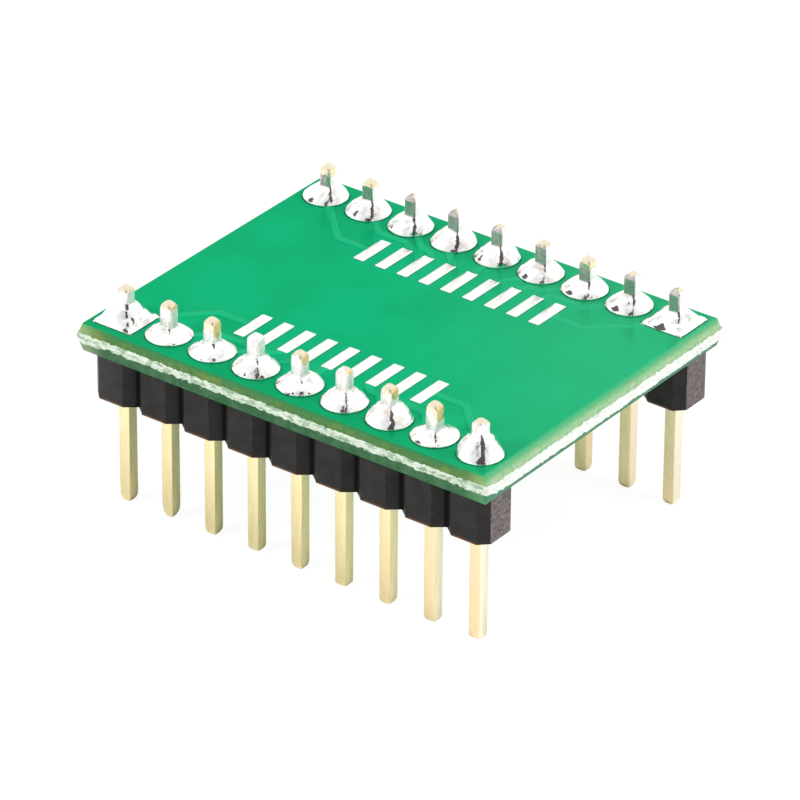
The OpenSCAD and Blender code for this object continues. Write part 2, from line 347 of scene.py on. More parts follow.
def plastic_paint():
    p = Paint("header_plastic")
    mottle = p.noise(1.3, 4.0)
    colour = p.mix(p.ramp(mottle, 0.3, 0.7), (0.0098, 0.0084, 0.0079), (0.015, 0.013, 0.012))
    # Painted light: the cells at the left end of each strip, towards the left lamp, are a lighter grey.
    colour = p.mix(p.ramp(p.axis("X"), -11.4, -8.6, 0.9, 0.0), colour, (0.036, 0.033, 0.031))
    dust = p.ramp(p.noise(9.0, 4.0, 0.75), 0.66, 0.78)
    colour = p.mix(p.math("MULTIPLY", dust, 0.25), colour, (0.12, 0.11, 0.1))
    # Painted shade: the narrow flats in the notches between cells are near black, and rough.
    along = p.math("PINGPONG", p.axis("X"), PITCH / 2)
    inner = p.ramp(p.math("ABSOLUTE", p.axis("X")), 10.5, 10.7, 1.0, 0.0)
    notch_shade = p.math("MULTIPLY", p.ramp(along, 1.08, 1.19), inner)
    colour = p.mix(notch_shade, colour, (0.002, 0.0018, 0.0018))
    # Painted reflection: the foot of each cell, next to its gold pin, takes a warm brown tint of the pin.
    foot = p.ramp(p.height(), STRIP_BOTTOM + 0.05, STRIP_BOTTOM + 0.18, 0.95, 0.0)
    near_pin = p.ramp(along, 0.4, 0.85, 1.0, 0.0)
    colour = p.mix(p.math("MULTIPLY", foot, near_pin), colour, (0.13, 0.055, 0.012))
    rough = p.ramp(p.noise(2.0, 4.0), 0.3, 0.7, 0.42, 0.6)
    p.set(Base_Color=colour, Roughness=p.math("MAXIMUM", rough, notch_shade))
    p.bsdf.inputs["Specular IOR Level"].default_value = 0.25
    p.set(Normal=p.bump(p.noise(7.0, 4.0, 0.6), 0.008, 0.7))
    return p.mat


def fracture_paint():
    p = Paint("snapped_plastic")
    torn = p.noise(1.0, 5.0, 0.7, p.stretched(4, 4, 7))
    colour = p.mix(p.ramp(torn, 0.3, 0.7), (0.06, 0.049, 0.049), (0.19, 0.158, 0.158))
    p.set(Base_Color=colour, Roughness=0.8)
    p.set(Normal=p.bump(p.noise(11.0, 4.0, 0.7), 0.02, 0.8))
    return p.mat


def gold_paint():
    p = Paint("gold_plate")
    drawn = p.noise(1.0, 4.0, 0.6, p.stretched(9, 9, 0.5))
    colour = p.mix(p.ramp(drawn, 0.3, 0.7), (0.93, 0.77, 0.42), (0.96, 0.83, 0.5))
    worn = p.ramp(p.noise(0.8, 4.0, 0.65), 0.58, 0.72)
    colour = p.mix(p.math("MULTIPLY", worn, 0.5), colour, (0.96, 0.89, 0.7))
    hot = p.ramp(p.height(), BOARD_TOP + 0.2, BOARD_TOP + 0.6)
    colour = p.mix(p.math("MULTIPLY", hot, 0.8), colour, (0.84, 0.775, 0.615))
    sheared = p.math("ADD", p.height(), p.math("MULTIPLY", p.math("SUBTRACT", p.noise(4.0, 3.0, 0.6), 0.5), 0.5))
    colour = p.mix(p.ramp(sheared, 0.06, 0.2, 0.55, 0.0), colour, (0.6, 0.42, 0.24))
    facing = p.ramp(p.normal_x(), 0.6, 0.9)
    below = p.ramp(p.height(), BOARD_BOTTOM, BOARD_TOP, 1.0, 0.0)
    colour = p.mix(p.math("MULTIPLY", below, p.ramp(p.axis("X"), 1.0, 9.0, 0.0, 0.75, False)), colour, (0.87, 0.68, 0.43))
    # Painted reflection: below the board the right faces of the left-hand pins are a darker olive, as if mirroring the
    # shaded floor under the board.
    dark_reflection = p.math("MULTIPLY", facing, p.ramp(p.axis("X"), -4.0, 9.0, 0.75, 0.0, False))
    colour = p.mix(p.math("MULTIPLY", dark_reflection, below), colour, (0.5, 0.43, 0.22))
    # Painted reflection: below the board the right faces of the right-hand pins are paler, as if mirroring the open
    # white floor.
    bright_reflection = p.math("MULTIPLY", facing, p.ramp(p.axis("X"), 5.0, 10.0, 0.0, 0.9, False))
    colour = p.mix(p.math("MULTIPLY", bright_reflection, below), colour, (0.98, 0.9, 0.72))
    bare = p.math("MULTIPLY", p.math("MULTIPLY", hot, facing), p.ramp(p.noise(2.4, 3.0, 0.6), 0.35, 0.5))
    bare = p.math("MULTIPLY", bare, p.ramp(p.axis("Y"), -2.0, 2.0, 0.8, 0.2))
    colour = p.mix(bare, colour, (0.72, 0.5, 0.16))
    p.set(Base_Color=colour, Metallic=p.math("SUBTRACT", 1.0, p.math("MULTIPLY", bare, 0.75)))
    p.set(Roughness=p.ramp(drawn, 0.3, 0.7, 0.2, 0.34))
    p.set(Normal=p.bump(drawn, 0.004, 0.6))
    return p.mat


def solder_paint():
    p = Paint("solder")
    flow = p.noise(1.6, 4.0, 0.6)
    colour = p.mix(p.ramp(flow, 0.3, 0.7), (0.93, 0.925, 0.915), (0.99, 0.99, 0.985))
    flux = p.ramp(p.noise(1.5, 3.0, 0.5), 0.58, 0.7)
    colour = p.mix(p.math("MULTIPLY", flux, 0.6), colour, (0.62, 0.5, 0.46))
    low = p.ramp(p.height(), COPPER_TOP + 0.12, COPPER_TOP + 0.27, 1.0, 0.0)
    specks = p.math("MULTIPLY", low, p.ramp(p.noise(3.4, 4.0, 0.65), 0.66, 0.7))
    colour = p.mix(specks, colour, (0.07, 0.05, 0.05))
    p.set(Base_Color=colour, Metallic=1.0, Roughness=p.ramp(flow, 0.3, 0.7, 0.05, 0.14))
    soft = p.bump(p.noise(1.9, 3.0), 0.035, 0.6)
    p.set(Normal=p.bump(p.noise(7.0, 4.0, 0.6), 0.012, 0.8, soft))
    return p.mat


def coat_paint(name, base, stained, body):
    """Thin solder that was wiped up a stub, less shiny than a mound."""
    p = Paint(name)
    streaks = p.noise(4.0, 4.0, 0.7, p.stretched(1, 1, 0.3))
    colour = p.mix(p.ramp(streaks, 0.48, 0.66, 0.0, 0.6), base, stained)
    p.set(Base_Color=colour, Metallic=1.0 - body, Roughness=p.ramp(p.noise(1.6, 4.0), 0.3, 0.7, 0.22, 0.36))
    p.set(Normal=p.bump(p.noise(5.0, 4.0, 0.6), 0.02, 0.8))
    return p.mat


def tin_paint():
    p = Paint("tinned_copper")
    cells = p.noise(2.8, 4.0, 0.6)
    colour = p.mix(p.ramp(cells, 0.3, 0.7), (0.88, 0.90, 0.88), (0.97, 0.98, 0.97))
    p.set(Base_Color=colour, Metallic=1.0, Roughness=p.ramp(cells, 0.3, 0.7, 0.24, 0.36))
    p.set(Normal=p.bump(cells, 0.006, 0.5))
    return p.mat


MASK = mask_paint()
LAMINATE = laminate_paint()
SLOPE = slope_paint()
WEB = web_paint()
PLASTIC = plastic_paint()
FRACTURE = fracture_paint()
GOLD = gold_paint()
SOLDER = solder_paint()
COAT = coat_paint("solder_coat", (0.95, 0.92, 0.9), (0.66, 0.54, 0.52), 0.45)
# Lit and shaded copies of the coat for the back stubs: the bright one, on faces towards the right lamp, is painted
# light; the dull one, on faces towards the front, is painted shade.
LIT_COAT = coat_paint("lit_solder_coat", (0.99, 0.985, 0.98), (0.93, 0.93, 0.92), 0.85)
# Near-black marks on the mounds; where they face the camera they are a painted reflection of it.
MARK = coat_paint("reflection_and_dark_mark", (0.11, 0.09, 0.09), (0.045, 0.035, 0.035), 0.55)
SHADED_COAT = coat_paint("shaded_solder_coat", (0.6, 0.55, 0.54), (0.42, 0.34, 0.33), 0.2)
TIN = tin_paint()


def piece(name, verts, faces, mats, nodes=(), face_mats=None, smooth_angle=40, fix_normals=False):
    """Makes one mesh piece from millimetre points; it rides on the body and may replace CAD nodes."""
    mesh = bpy.data.meshes.new(name)
    mesh.from_pydata((np.asarray(verts, float) * MM).tolist(), [], faces)
    for mat in mats:
        mesh.materials.append(mat)
    if face_mats is not None:
        mesh.polygons.foreach_set("material_index", face_mats)
    if fix_normals:
        bm = bmesh.new()
        bm.from_mesh(mesh)
        bmesh.ops.remove_doubles(bm, verts=bm.verts, dist=1e-7)
        bmesh.ops.recalc_face_normals(bm, faces=bm.faces)
        bm.to_mesh(mesh)
        bm.free()
    mesh.update()
    mesh.shade_smooth()
    mesh.set_sharp_from_angle(angle=math.radians(smooth_angle))
    obj = bpy.data.objects.new(name, mesh)
    bpy.context.scene.collection.objects.link(obj)
    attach(obj, "root")
    if nodes:
        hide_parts(*nodes)
    return obj


def cad_faces(node, keep):
    """Points in millimetres and faces of a CAD node's mesh that pass the test on their centre and normal."""
    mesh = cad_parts[node].data
    verts = [tuple(c / MM for c in v.co) for v in mesh.vertices]
    faces = []
    for poly in mesh.polygons:
        points = [verts[i] for i in poly.vertices]
        centre = [sum(c) / len(points) for c in zip(*points)]
        if keep(points, centre, poly.normal):
            faces.append(list(poly.vertices))
    used = sorted({i for f in faces for i in f})
    index = {old: new for new, old in enumerate(used)}
    return [verts[i] for i in used], [[index[i] for i in f] for f in faces]


def rings_to_faces(rings, count, start=0):
    faces = []
    for j in range(rings - 1):
        for i in range(count):
            k = (i + 1) % count
            a = start + j * count
            b = a + count
            faces.append([a + i, a + k, b + k, b + i])
    return faces


# Laminate: its flat faces and holes come from the solid, and its edge is a scored slope, a torn
# web of glass fibre and a second slope, swept round the board.
def edge_stations(step):
    """Points round the face's edge, counter-clockwise, each with its outward direction."""
    corners = [(FACE_X, -FACE_Y), (FACE_X, FACE_Y), (-FACE_X, FACE_Y), (-FACE_X, -FACE_Y)]
    stations = []
    for c in range(4):
        ax, ay = corners[c]
        bx, by = corners[(c + 1) % 4]
        length = math.hypot(bx - ax, by - ay)
        tx, ty = (bx - ax) / length, (by - ay) / length
        nx, ny = ty, -tx
        count = round(length / step)
        stations.append((ax, ay, math.copysign(ROUNDED, ax), math.copysign(ROUNDED, ay)))
        for i in range(1, count):
            s = length * i / count
            stations.append((ax + tx * s, ay + ty * s, nx, ny))
    return stations


def make_laminate():
    stations = edge_stations(0.07)
    upper_rows, web_rows, lower_rows = 7, 13, 7
    rings = []
    row_kind = []
    for x, y, nx, ny in stations:
        from_right = blend(FACE_X - 1.6, FACE_X, x) * blend(-FACE_Y, -FACE_Y + 1.2, y)
        from_front = blend(-FACE_Y + 0.5, -FACE_Y, y) * (1 - from_right)
        top_z = LAM_TOP - SCORE_DEPTH + 0.05 * from_front + 0.03 * wobble(x * 0.9, y * 0.9, 1.0, 2)
        top_z += 0.05 * wobble(x * 4.5, y * 4.5, 1.0, 3)
        top_z += 0.08 * blend(FACE_X - 1.3, FACE_X - 0.3, x) * blend(-FACE_Y + 0.5, -FACE_Y, y)
        low_z = LAM_BOTTOM + SCORE_DEPTH + 0.16 * from_front - 0.05 * from_right + 0.04 * wobble(x * 0.8, y * 0.8, 5.0, 2)
        low_z += 0.06 * wobble(x * 4.0, y * 4.0, 5.0, 3)
        low_z -= 0.09 * blend(-FACE_X + 1.8, -FACE_X + 0.8, x) * from_front
        run = SCORE_RUN + 0.015 * wobble(x * 0.8, y * 0.8, 9.0, 2)
        column_points = []
        for r in range(upper_rows):
            t = r / upper_rows
            out = run * t + 0.012 * wobble(x * 4, y * 4, t * 3 + 2, 3) * min(1.0, t * 4)
            column_points.append((out, LAM_TOP + (top_z - LAM_TOP) * t))
        for r in range(web_rows):
            t = r / (web_rows - 1)
            z = top_z + (low_z - top_z) * t
            bulge = 0.6 + 0.4 * math.sin(math.pi * t)
            ply = 0.016 * math.cos(2 * math.pi * z / 0.17 + 1.5 * wobble(x, y, 3, 2))
            torn = 0.04 * wobble(x * 3.2, y * 3.2, z * 8, 4)
            chip = 0.09 * max(0.0, wobble(x * 0.9 + 7, y * 0.9, z * 3, 3) - 0.35)
            column_points.append((run + WEB_PROUD * bulge + ply + torn - chip, z))
        for r in range(lower_rows):
            t = (r + 1) / lower_rows
            out = run * (1 - t) + 0.012 * wobble(x * 4, y * 4, t * 3 + 12, 3) * min(1.0, (1 - t) * 4)
            column_points.append((out, low_z + (LAM_BOTTOM - low_z) * t))
        rings.append([(x + nx * out, y + ny * out, z) for out, z in column_points])
    total = upper_rows + web_rows + lower_rows
    for r in range(total - 1):
        row_kind.append(1 if upper_rows - 1 < r < upper_rows + web_rows - 1 else 0)
    count = len(stations)
    verts = [rings[i][r] for r in range(total) for i in range(count)]
    faces = []
    kinds = []
    for r in range(total - 1):
        for i in range(count):
            k = (i + 1) % count
            faces.append([r * count + k, r * count + i, (r + 1) * count + i, (r + 1) * count + k])
            kinds.append(2 if row_kind[r] else 1)

    def flat_or_hole(points, centre, normal):
        inside = abs(centre[0]) < FACE_X + 0.01 and abs(centre[1]) < FACE_Y + 0.01
        in_hole = any(math.hypot(centre[0] - pin_at(n)[0], centre[1] - pin_at(n)[1]) < 0.6
                      for n in range(1, PIN_COUNT + 1))
        return inside and (abs(normal[2]) > 0.999 and (centre[2] > LAM_TOP - 0.01 or centre[2] < LAM_BOTTOM + 0.01)
                           or in_hole)

    more, more_faces = cad_faces("laminate", flat_or_hole)
    base = len(verts)
    verts += more
    faces += [[base + i for i in f] for f in more_faces]
    kinds += [0] * len(more_faces)
    piece("board_laminate", verts, faces, [LAMINATE, SLOPE, WEB], ["laminate"], kinds, 70)


def make_edge_fibres():
    rng = random.Random(21)
    stations = edge_stations(0.05)
    verts, faces = [], []
    for _ in range(900):
        x, y, nx, ny = rng.choice(stations)
        low = LAM_BOTTOM + SCORE_DEPTH + (0.2 if ny < 0 else 0.02)
        z = rng.uniform(low, LAM_TOP - SCORE_DEPTH + 0.03)
        length = rng.uniform(0.06, 0.22)
        thick = rng.uniform(0.006, 0.013)
        along = rng.uniform(-0.9, 0.9)
        lift = rng.uniform(-0.5, 0.4)
        out = Vector((nx - ny * along, ny + nx * along, lift)).normalized()
        start = Vector((x + nx * (SCORE_RUN + 0.01), y + ny * (SCORE_RUN + 0.01), z))
        across = out.cross(Vector((0, 0, 1))).normalized() * thick
        up = out.cross(across).normalized() * thick
        bend = Vector((0, 0, rng.uniform(-0.4, 0.25))) * length
        base = len(verts)
        for t, w in ((0.0, 1.0), (0.55, 0.85), (1.0, 0.25)):
            centre = start + out * length * t + bend * t * t
            for k in range(3):
                a = 2 * math.pi * k / 3
                verts.append(tuple(centre + across * math.cos(a) * w + up * math.sin(a) * w))
        faces += rings_to_faces(3, 3, base)
        faces.append([base + 6, base + 7, base + 8])
    piece("edge_fibres", verts, faces, [WEB])


# Mask: a height field over the top face that rises over each trace, with an opening round each
# pad and land whose outline the nearest points are moved onto.
def trace_route(n):
    """Route of a trace from land to pin, in the row frame."""
    offset = abs(column(n))
    way = np.sign(column(n))
    start, end = abs(land_at(n)[0]), abs(pin_at(n)[0])
    land_end = LAND_Y + LAND_L / 2
    lane_y = ROW_Y - PAD_R - TRACE_GAP - TRACE_W / 2
    turn = land_end + 0.1
    short = end - 0.25
    if offset == 0:
        route = [(0, land_end - 0.2), (0, ROW_Y)]
    elif offset == (ROW_PINS - 1) / 2:
        route = [(start, LAND_Y), (end - (ROW_Y - LAND_Y), LAND_Y), (end, ROW_Y)]
    elif offset == 1:
        route = [(start, land_end - 0.2), (start, turn), (end, turn + end - start), (end, ROW_Y)]
    else:
        route = [(start, land_end - 0.2), (start, turn), (start + lane_y - turn, lane_y),
                 (short - (ROW_Y - lane_y), lane_y), (short, ROW_Y)]
    return [((way or 1) * x, side(n) * y) for x, y in route]


def distance_to_traces(px, py):
    best = np.full(px.shape, 99.0)
    for n in range(1, PIN_COUNT + 1):
        route = trace_route(n)
        for (ax, ay), (bx, by) in zip(route, route[1:]):
            dx, dy = bx - ax, by - ay
            t = np.clip(((px - ax) * dx + (py - ay) * dy) / (dx * dx + dy * dy), 0, 1)
            best = np.minimum(best, np.hypot(px - ax - t * dx, py - ay - t * dy))
    return best


def opening_distance(px, py, shape):
    """Signed distance to one opening, below zero inside it, and the nearest point of its outline."""
    kind, cx, cy, hx, hy = shape
    dx, dy = px - cx, py - cy
    if kind == "round":
        r = np.maximum(np.hypot(dx, dy), 1e-9)
        return r - hx, cx + dx / r * hx, cy + dy / r * hx
    qx, qy = np.abs(dx) - hx, np.abs(dy) - hy
    dist = np.hypot(np.maximum(qx, 0), np.maximum(qy, 0)) + np.minimum(np.maximum(qx, qy), 0)
    to_x = (qx > qy) & (dist <= 0)
    nx = np.where(dist > 0, np.clip(dx, -hx, hx), np.where(to_x, np.sign(dx) * hx, dx))
    ny = np.where(dist > 0, np.clip(dy, -hy, hy), np.where(to_x, dy, np.sign(dy) * hy))
    return dist, cx + nx, cy + ny


def openings(with_lands):
    shapes = []
    for n in range(1, PIN_COUNT + 1):
        x, y = pin_at(n)
        if is_square(n):
            shapes.append(("box", x, y, SQUARE_PAD / 2 + PAD_GAP, SQUARE_PAD / 2 + PAD_GAP))
        else:
            shapes.append(("round", x, y, PAD_R + PAD_GAP, PAD_R + PAD_GAP))
        if with_lands:
            lx, ly = land_at(n)
            shapes.append(("box", lx, ly, LAND_W / 2 + LAND_GAP, LAND_L / 2 + LAND_GAP))
    return shapes


def make_mask(name, node, step, top):
    edge_x, edge_y = (FACE_X, FACE_Y) if top else (FACE_X - 0.06, FACE_Y - 0.06)
    nx, ny = round(2 * edge_x / step), round(2 * edge_y / step)
    gx, gy = np.meshgrid(np.linspace(-edge_x, edge_x, nx + 1), np.linspace(-edge_y, edge_y, ny + 1), indexing="ij")
    px, py = gx.copy(), gy.copy()
    inside = np.zeros(px.shape, bool)
    for shape in openings(top):
        dist, qx, qy = opening_distance(gx, gy, shape)
        inside |= dist < 0
        near = (dist < 0.45 * step) & (dist > -1.6 * step)
        px[near], py[near] = qx[near], qy[near]
    if top:
        d = distance_to_traces(px, py)
        t = np.clip((0.31 - d) / (0.31 - 0.13), 0, 1)
        rise = 0.05 * t * t * (3 - 2 * t)
        edge = np.minimum(FACE_X - np.abs(px), FACE_Y - np.abs(py))
        drop = 0.02 * np.clip(1 - edge / 0.12, 0, 1) ** 2
        pz = BOARD_TOP + rise - drop
    else:
        pz = np.full(px.shape, BOARD_BOTTOM)
    index = np.arange(px.size).reshape(px.shape)
    a, b, c, d4 = index[:-1, :-1], index[1:, :-1], index[1:, 1:], index[:-1, 1:]
    flat_in = inside.ravel()
    keep = ~(flat_in[a] & flat_in[b] & flat_in[c] & flat_in[d4])
    quads = np.stack([a, b, c, d4], axis=-1)[keep]
    if not top:
        quads = quads[:, ::-1]
    used = np.unique(quads)
    remap = np.full(px.size, -1)
    remap[used] = np.arange(used.size)
    verts = np.stack([px.ravel()[used], py.ravel()[used], pz.ravel()[used]], axis=-1)
    mesh = bpy.data.meshes.new(name)
    mesh.from_pydata((verts * MM).tolist(), [], remap[quads].tolist())
    mesh.materials.append(MASK)
    bm = bmesh.new()
    bm.from_mesh(mesh)
    bmesh.ops.dissolve_degenerate(bm, dist=2e-6, edges=bm.edges)
    border = [e for e in bm.edges if e.is_boundary]
    skirt = bmesh.ops.extrude_edge_only(bm, edges=border)
    floor_z = (LAM_TOP - 0.002 if top else LAM_BOTTOM + 0.002) * MM
    for v in [g for g in skirt["geom"] if isinstance(g, bmesh.types.BMVert)]:
        v.co.z = floor_z
    bm.to_mesh(mesh)
    bm.free()
    mesh.shade_smooth()
    mesh.set_sharp_from_angle(angle=math.radians(50))
    obj = bpy.data.objects.new(name, mesh)
    bpy.context.scene.collection.objects.link(obj)
    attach(obj, "root")
    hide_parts(node)


# Copper: each net keeps its solid's copper, and its land gets a crowned coat of tin.
def make_net(n):
    def not_tin(points, centre, normal):
        return max(p[2] for p in points) < COPPER_TOP + 0.005

    verts, faces = cad_faces(f"net_{n}", not_tin)
    lx, ly = land_at(n)
    rng = random.Random(300 + n)
    nu, nv = 10, 24
    half_w, half_l = LAND_W / 2, LAND_L / 2
    corner = 0.07
    crown = rng.uniform(0.012, 0.022)
    base = len(verts)
    rim = []
    for i in range(nu + 1):
        for j in range(nv + 1):
            u, v = -1 + 2 * i / nu, -1 + 2 * j / nv
            x, y = half_w * u, half_l * v
            ix = min(max(x, corner - half_w), half_w - corner)
            iy = min(max(y, corner - half_l), half_l - corner)
            qx, qy = x - ix, y - iy
            q = math.hypot(qx, qy)
            if q > corner:
                x, y = ix + qx / q * corner, iy + qy / q * corner
            z = TIN_TOP - 0.018 + crown * (1 - abs(u) ** 3) * (1 - abs(v) ** 9)
            z += 0.018 * min(1.0, (1 - max(abs(u), abs(v))) * 6)
            z += 0.003 * wobble((lx + x) * 1.5, (ly + y) * 1.5, 2.0, 2)
            verts.append((lx + x, ly + y, z))
    for i in range(nu):
        for j in range(nv):
            a = base + i * (nv + 1) + j
            faces.append([a, a + nv + 1, a + nv + 2, a + 1])
    rim += [base + i * (nv + 1) for i in range(nu + 1)]
    rim += [base + nu * (nv + 1) + j for j in range(1, nv + 1)]
    rim += [base + i * (nv + 1) + nv for i in range(nu - 1, -1, -1)]
    rim += [base + j for j in range(nv - 1, 0, -1)]
    low = len(verts)
    for i in rim:
        x, y, _ = verts[i]
        verts.append((x, y, LAM_TOP))
    for k in range(len(rim)):
        k2 = (k + 1) % len(rim)
        faces.append([low + k, low + k2, rim[k2], rim[k]])
    piece(f"copper_{n}", verts, faces, [TIN], [f"net_{n}"], None, 50)


# Solder: a mound that starts round (or square, on a square pad), is drawn up into a ridge at two
# corners of the pin, and goes on as a thin coat that ends raggedly up the stub.
def section(half, power, theta):
    c, s = abs(math.cos(theta)), abs(math.sin(theta))
    return half / (c ** power + s ** power) ** (1 / power)


def stub_half(z):
    """Half width of a pin at a height above its pad; the upper end is a blunt crown."""
    top = PIN_TOP - COPPER_TOP
    t = min(max((z - (top - 0.3)) / 0.3, 0.0), 1.0)
    return PIN_W / 2 - 0.2 * t ** 2.4


def is_marked(n, s, theta):
    """Whether a place on a mound, s of the way up it, lies in one of its dark marks, some of which are painted
    reflection.
    """
    radius = PAD_R + (PIN_W * 0.7 - PAD_R) * s
    for bearing, low, high, wide_low, wide_high in {**FRONT_MARKS, **BACK_MARKS}[n]:
        t = (s - low) / (high - low)
        if not -0.05 <= t <= 1.05:
            continue
        turn = (theta - math.radians(bearing) + math.pi) % (2 * math.pi) - math.pi
        ragged = wobble(math.copysign(2, turn) + n, s * 5, bearing, 3)
        half = (wide_low + (wide_high - wide_low) * t) * (1 + 0.7 * ragged)
        if abs(turn + 0.06 * wobble(s * 2.5, n, bearing, 2)) * radius < half * min(1.0, 4 * min(t + 0.1, 1.1 - t)):
            return True
    return False


def make_solder(n):
    rng = random.Random(500 + 7 * n)
    cx, cy = pin_at(n)
    wx, wy = wire_at(n)
    height = MOUND[n - 1]
    foot = PAD_R + 0.03
    collar = PIN_W / 2 * math.sqrt(2) + 0.01
    segs = 128
    turns = [2 * math.pi * i / segs for i in range(segs)]
    swing, swing2 = rng.uniform(0, 6.28), rng.uniform(0, 6.28)
    lean = rng.uniform(0.02, 0.06)
    ridge = rng.uniform(0.05, 0.11) if side(n) > 0 else rng.uniform(0.02, 0.06)
    square = is_square(n)
    foot_power = 10.0 if square else 2.0
    foot_half = SQUARE_PAD / 2 + 0.015 if square else foot
    rim = 0.04 if square else 0.075
    even = 0.3 if square else 1.0
    ripple = [1 + 0.012 * wobble(math.cos(a) * 2.2 + n, math.sin(a) * 2.2, 0, 3) for a in turns]

    def at(r, theta, z, drift=1.0):
        x, y = cx + (wx - cx) * drift, cy + (wy - cy) * drift
        return (x + r * math.cos(theta), y + r * math.sin(theta), z)

    rings = [[at(BORE_R, a, BOARD_BOTTOM, 0) for a in turns], [at(BORE_R, a, COPPER_TOP, 0) for a in turns]]
    for half, z in ((foot_half, 0.0), (foot_half + 0.006, rim * 0.3), (foot_half, rim * 0.75)):
        rings.append([at(section(half, foot_power, a) * ripple[i], a, COPPER_TOP + z, 0) for i, a in enumerate(turns)])
    steps = 32
    for k in range(steps + 1):
        s = k / steps
        t = 1 - (1 - s) ** (1 / 0.7)
        z = rim + (height - 0.06 - rim) * t + 0.1 * blend(0.7, 1.0, s) ** 2
        radius = foot + (collar - foot) * s
        soft = math.sin(math.pi * min(1.0, s * 1.08))
        row = []
        for i, a in enumerate(turns):
            r = radius * (1 + lean * math.cos(a - swing) * soft * even)
            r += 0.045 * wobble(math.cos(a) * 1.1 + n * 3.1, math.sin(a) * 1.1, z * 1.6, 3) * soft * even
            corner = (a + math.pi / 4) % math.pi
            corner = min(corner, math.pi - corner)
            raised = blend(0.02, 0.3, s) * (1 - blend(0.85, 1.0, s))
            r += ridge * even * math.exp(-(corner / 0.2) ** 2) * raised
            if square:
                wide = section(foot_half, foot_power, a)
                r += (wide - foot) * (1 - blend(0.0, 0.5, s)) ** 1.5
            squared = section(PIN_W / 2 + 0.03, 4.2, a)
            r += (squared - r) * blend(0.72, 1.0, s)
            thin = 1 - 0.8 * blend(0.95, 1.4, r) if square else 1.0
            up = (z - rim) * thin * (1 + 0.08 * math.cos(a - swing2) * s)
            row.append(at(r * (ripple[i] if s < 0.1 else 1), a, COPPER_TOP + rim + up, s))
        rings.append(row)
    start = [p[2] - COPPER_TOP for p in rings[-1]]
    top = PIN_TOP - COPPER_TOP
    ends = []
    for i, a in enumerate(turns):
        front_face = max(0.0, -math.sin(a)) ** 2
        right_face = max(0.0, math.cos(a)) ** 2
        rest = max(0.0, 1 - front_face - right_face)
        reach = COAT_LEFT[n - 1] * (front_face + rest * 0.5) + COAT_RIGHT[n - 1] * (right_face + rest * 0.5)
        reach += 0.14 * wobble(math.cos(a) * 2.1 + n, math.sin(a) * 2.1, 4.0, 3)
        ends.append(min(max(reach, start[i] + 0.04), top + 0.012))
    coat_rows = 12
    for k in range(1, coat_rows + 1):
        t = k / coat_rows
        row = []
        for i, a in enumerate(turns):
            z = start[i] + (ends[i] - start[i]) * t
            half = stub_half(z) + 0.03 - 0.014 * t
            r = section(half, 4.2 + 1.4 * t, a) + 0.008 * wobble(math.cos(a) * 2 + n, math.sin(a) * 2, z * 3, 2)
            row.append(at(r, a, COPPER_TOP + z))
        rings.append(row)
    for inner in (0.8, 0.05):
        row = []
        for i, a in enumerate(turns):
            over = ends[i] > top - 0.05
            half = stub_half(ends[i]) * inner if over else stub_half(ends[i]) - 0.03
            row.append(at(section(half, 6, a), a, COPPER_TOP + ends[i] + (0.012 if over else 0.006)))
        rings.append(row)
    verts = [p for r in rings for p in r]
    coat_from = 5 + round(0.93 * steps)
    kinds = []
    for j in range(len(rings) - 1):
        for a in turns:
            coat = 1
            if side(n) > 0:
                # Back stubs: front faces take the dull copy of the coat, painted shade, and right faces the bright
                # copy, painted light.
                coat = 2 if math.sin(a) < -0.6 else 3 if math.cos(a) > 0.6 else 1
            marked = is_marked(n, (j - 4.5) / steps, a + math.pi / segs)
            kinds.append(4 if marked else 0 if j < coat_from else coat)
    paints = [SOLDER, COAT, SHADED_COAT, LIT_COAT, MARK]
    piece(f"solder_joint_{n}", verts, rings_to_faces(len(rings), segs), paints, [f"solder_{n}"], kinds, 60)


# Pins: square wire with softened edges, a cut point below and a blunt crown above.
def make_pin(n):
    rng = random.Random(700 + 11 * n)
    cx, cy = wire_at(n)
    half = PIN_W / 2
    edge_r, stub_r = 0.045, 0.1
    per_corner = 4

    def outline(h, r, shift=(0, 0)):
        points = []
        for q in range(4):
            start = q * math.pi / 2
            sx = 1 if q in (0, 3) else -1
            sy = 1 if q in (0, 1) else -1
            for k in range(per_corner):
                a = start + math.pi / 2 * k / (per_corner - 1)
                points.append((cx + shift[0] + sx * (h - r) + r * math.cos(a),
                               cy + shift[1] + sy * (h - r) + r * math.sin(a)))
        return points

    tip, point, cut = POINT[n - 1]
    off = (rng.uniform(-0.02, 0.02), rng.uniform(-0.02, 0.02))
    levels = []
    for t in (0.0, 0.04, 0.1, 0.2, 0.35, 0.55, 0.78, 1.0):
        h = tip + (half - tip) * math.sqrt(1 - (1 - t) ** 2) ** 1.25
        levels.append((cut + point * t, h, 0.055 + 0.02 * (1 - t), (off[0] * (1 - t), off[1] * (1 - t))))
    shaft = cut + point + 0.06
    for k in range(8):
        levels.append((shaft + (BOARD_TOP - shaft) * k / 8, half, edge_r, (0, 0)))
    levels.append((BOARD_TOP, half, stub_r, (0, 0)))
    for down in (0.3, 0.2, 0.15, 0.1, 0.06, 0.03, 0.0):
        h = stub_half(PIN_TOP - down - COPPER_TOP)
        levels.append((PIN_TOP - down, h, min(stub_r + 0.12 * (1 - down / 0.3), h * 0.9), (0, 0)))
    verts = []
    for z, h, r, shift in levels:
        verts += [(x, y, z) for x, y in outline(h, min(r, h * 0.95), shift)]
    count = 4 * per_corner
    faces = rings_to_faces(len(levels), count)
    faces.append(list(range(count))[::-1])
    faces.append([(len(levels) - 1) * count + i for i in range(count)])
    piece(f"post_{n}", verts, faces, [GOLD], [f"pin_{n}"], None, 35)


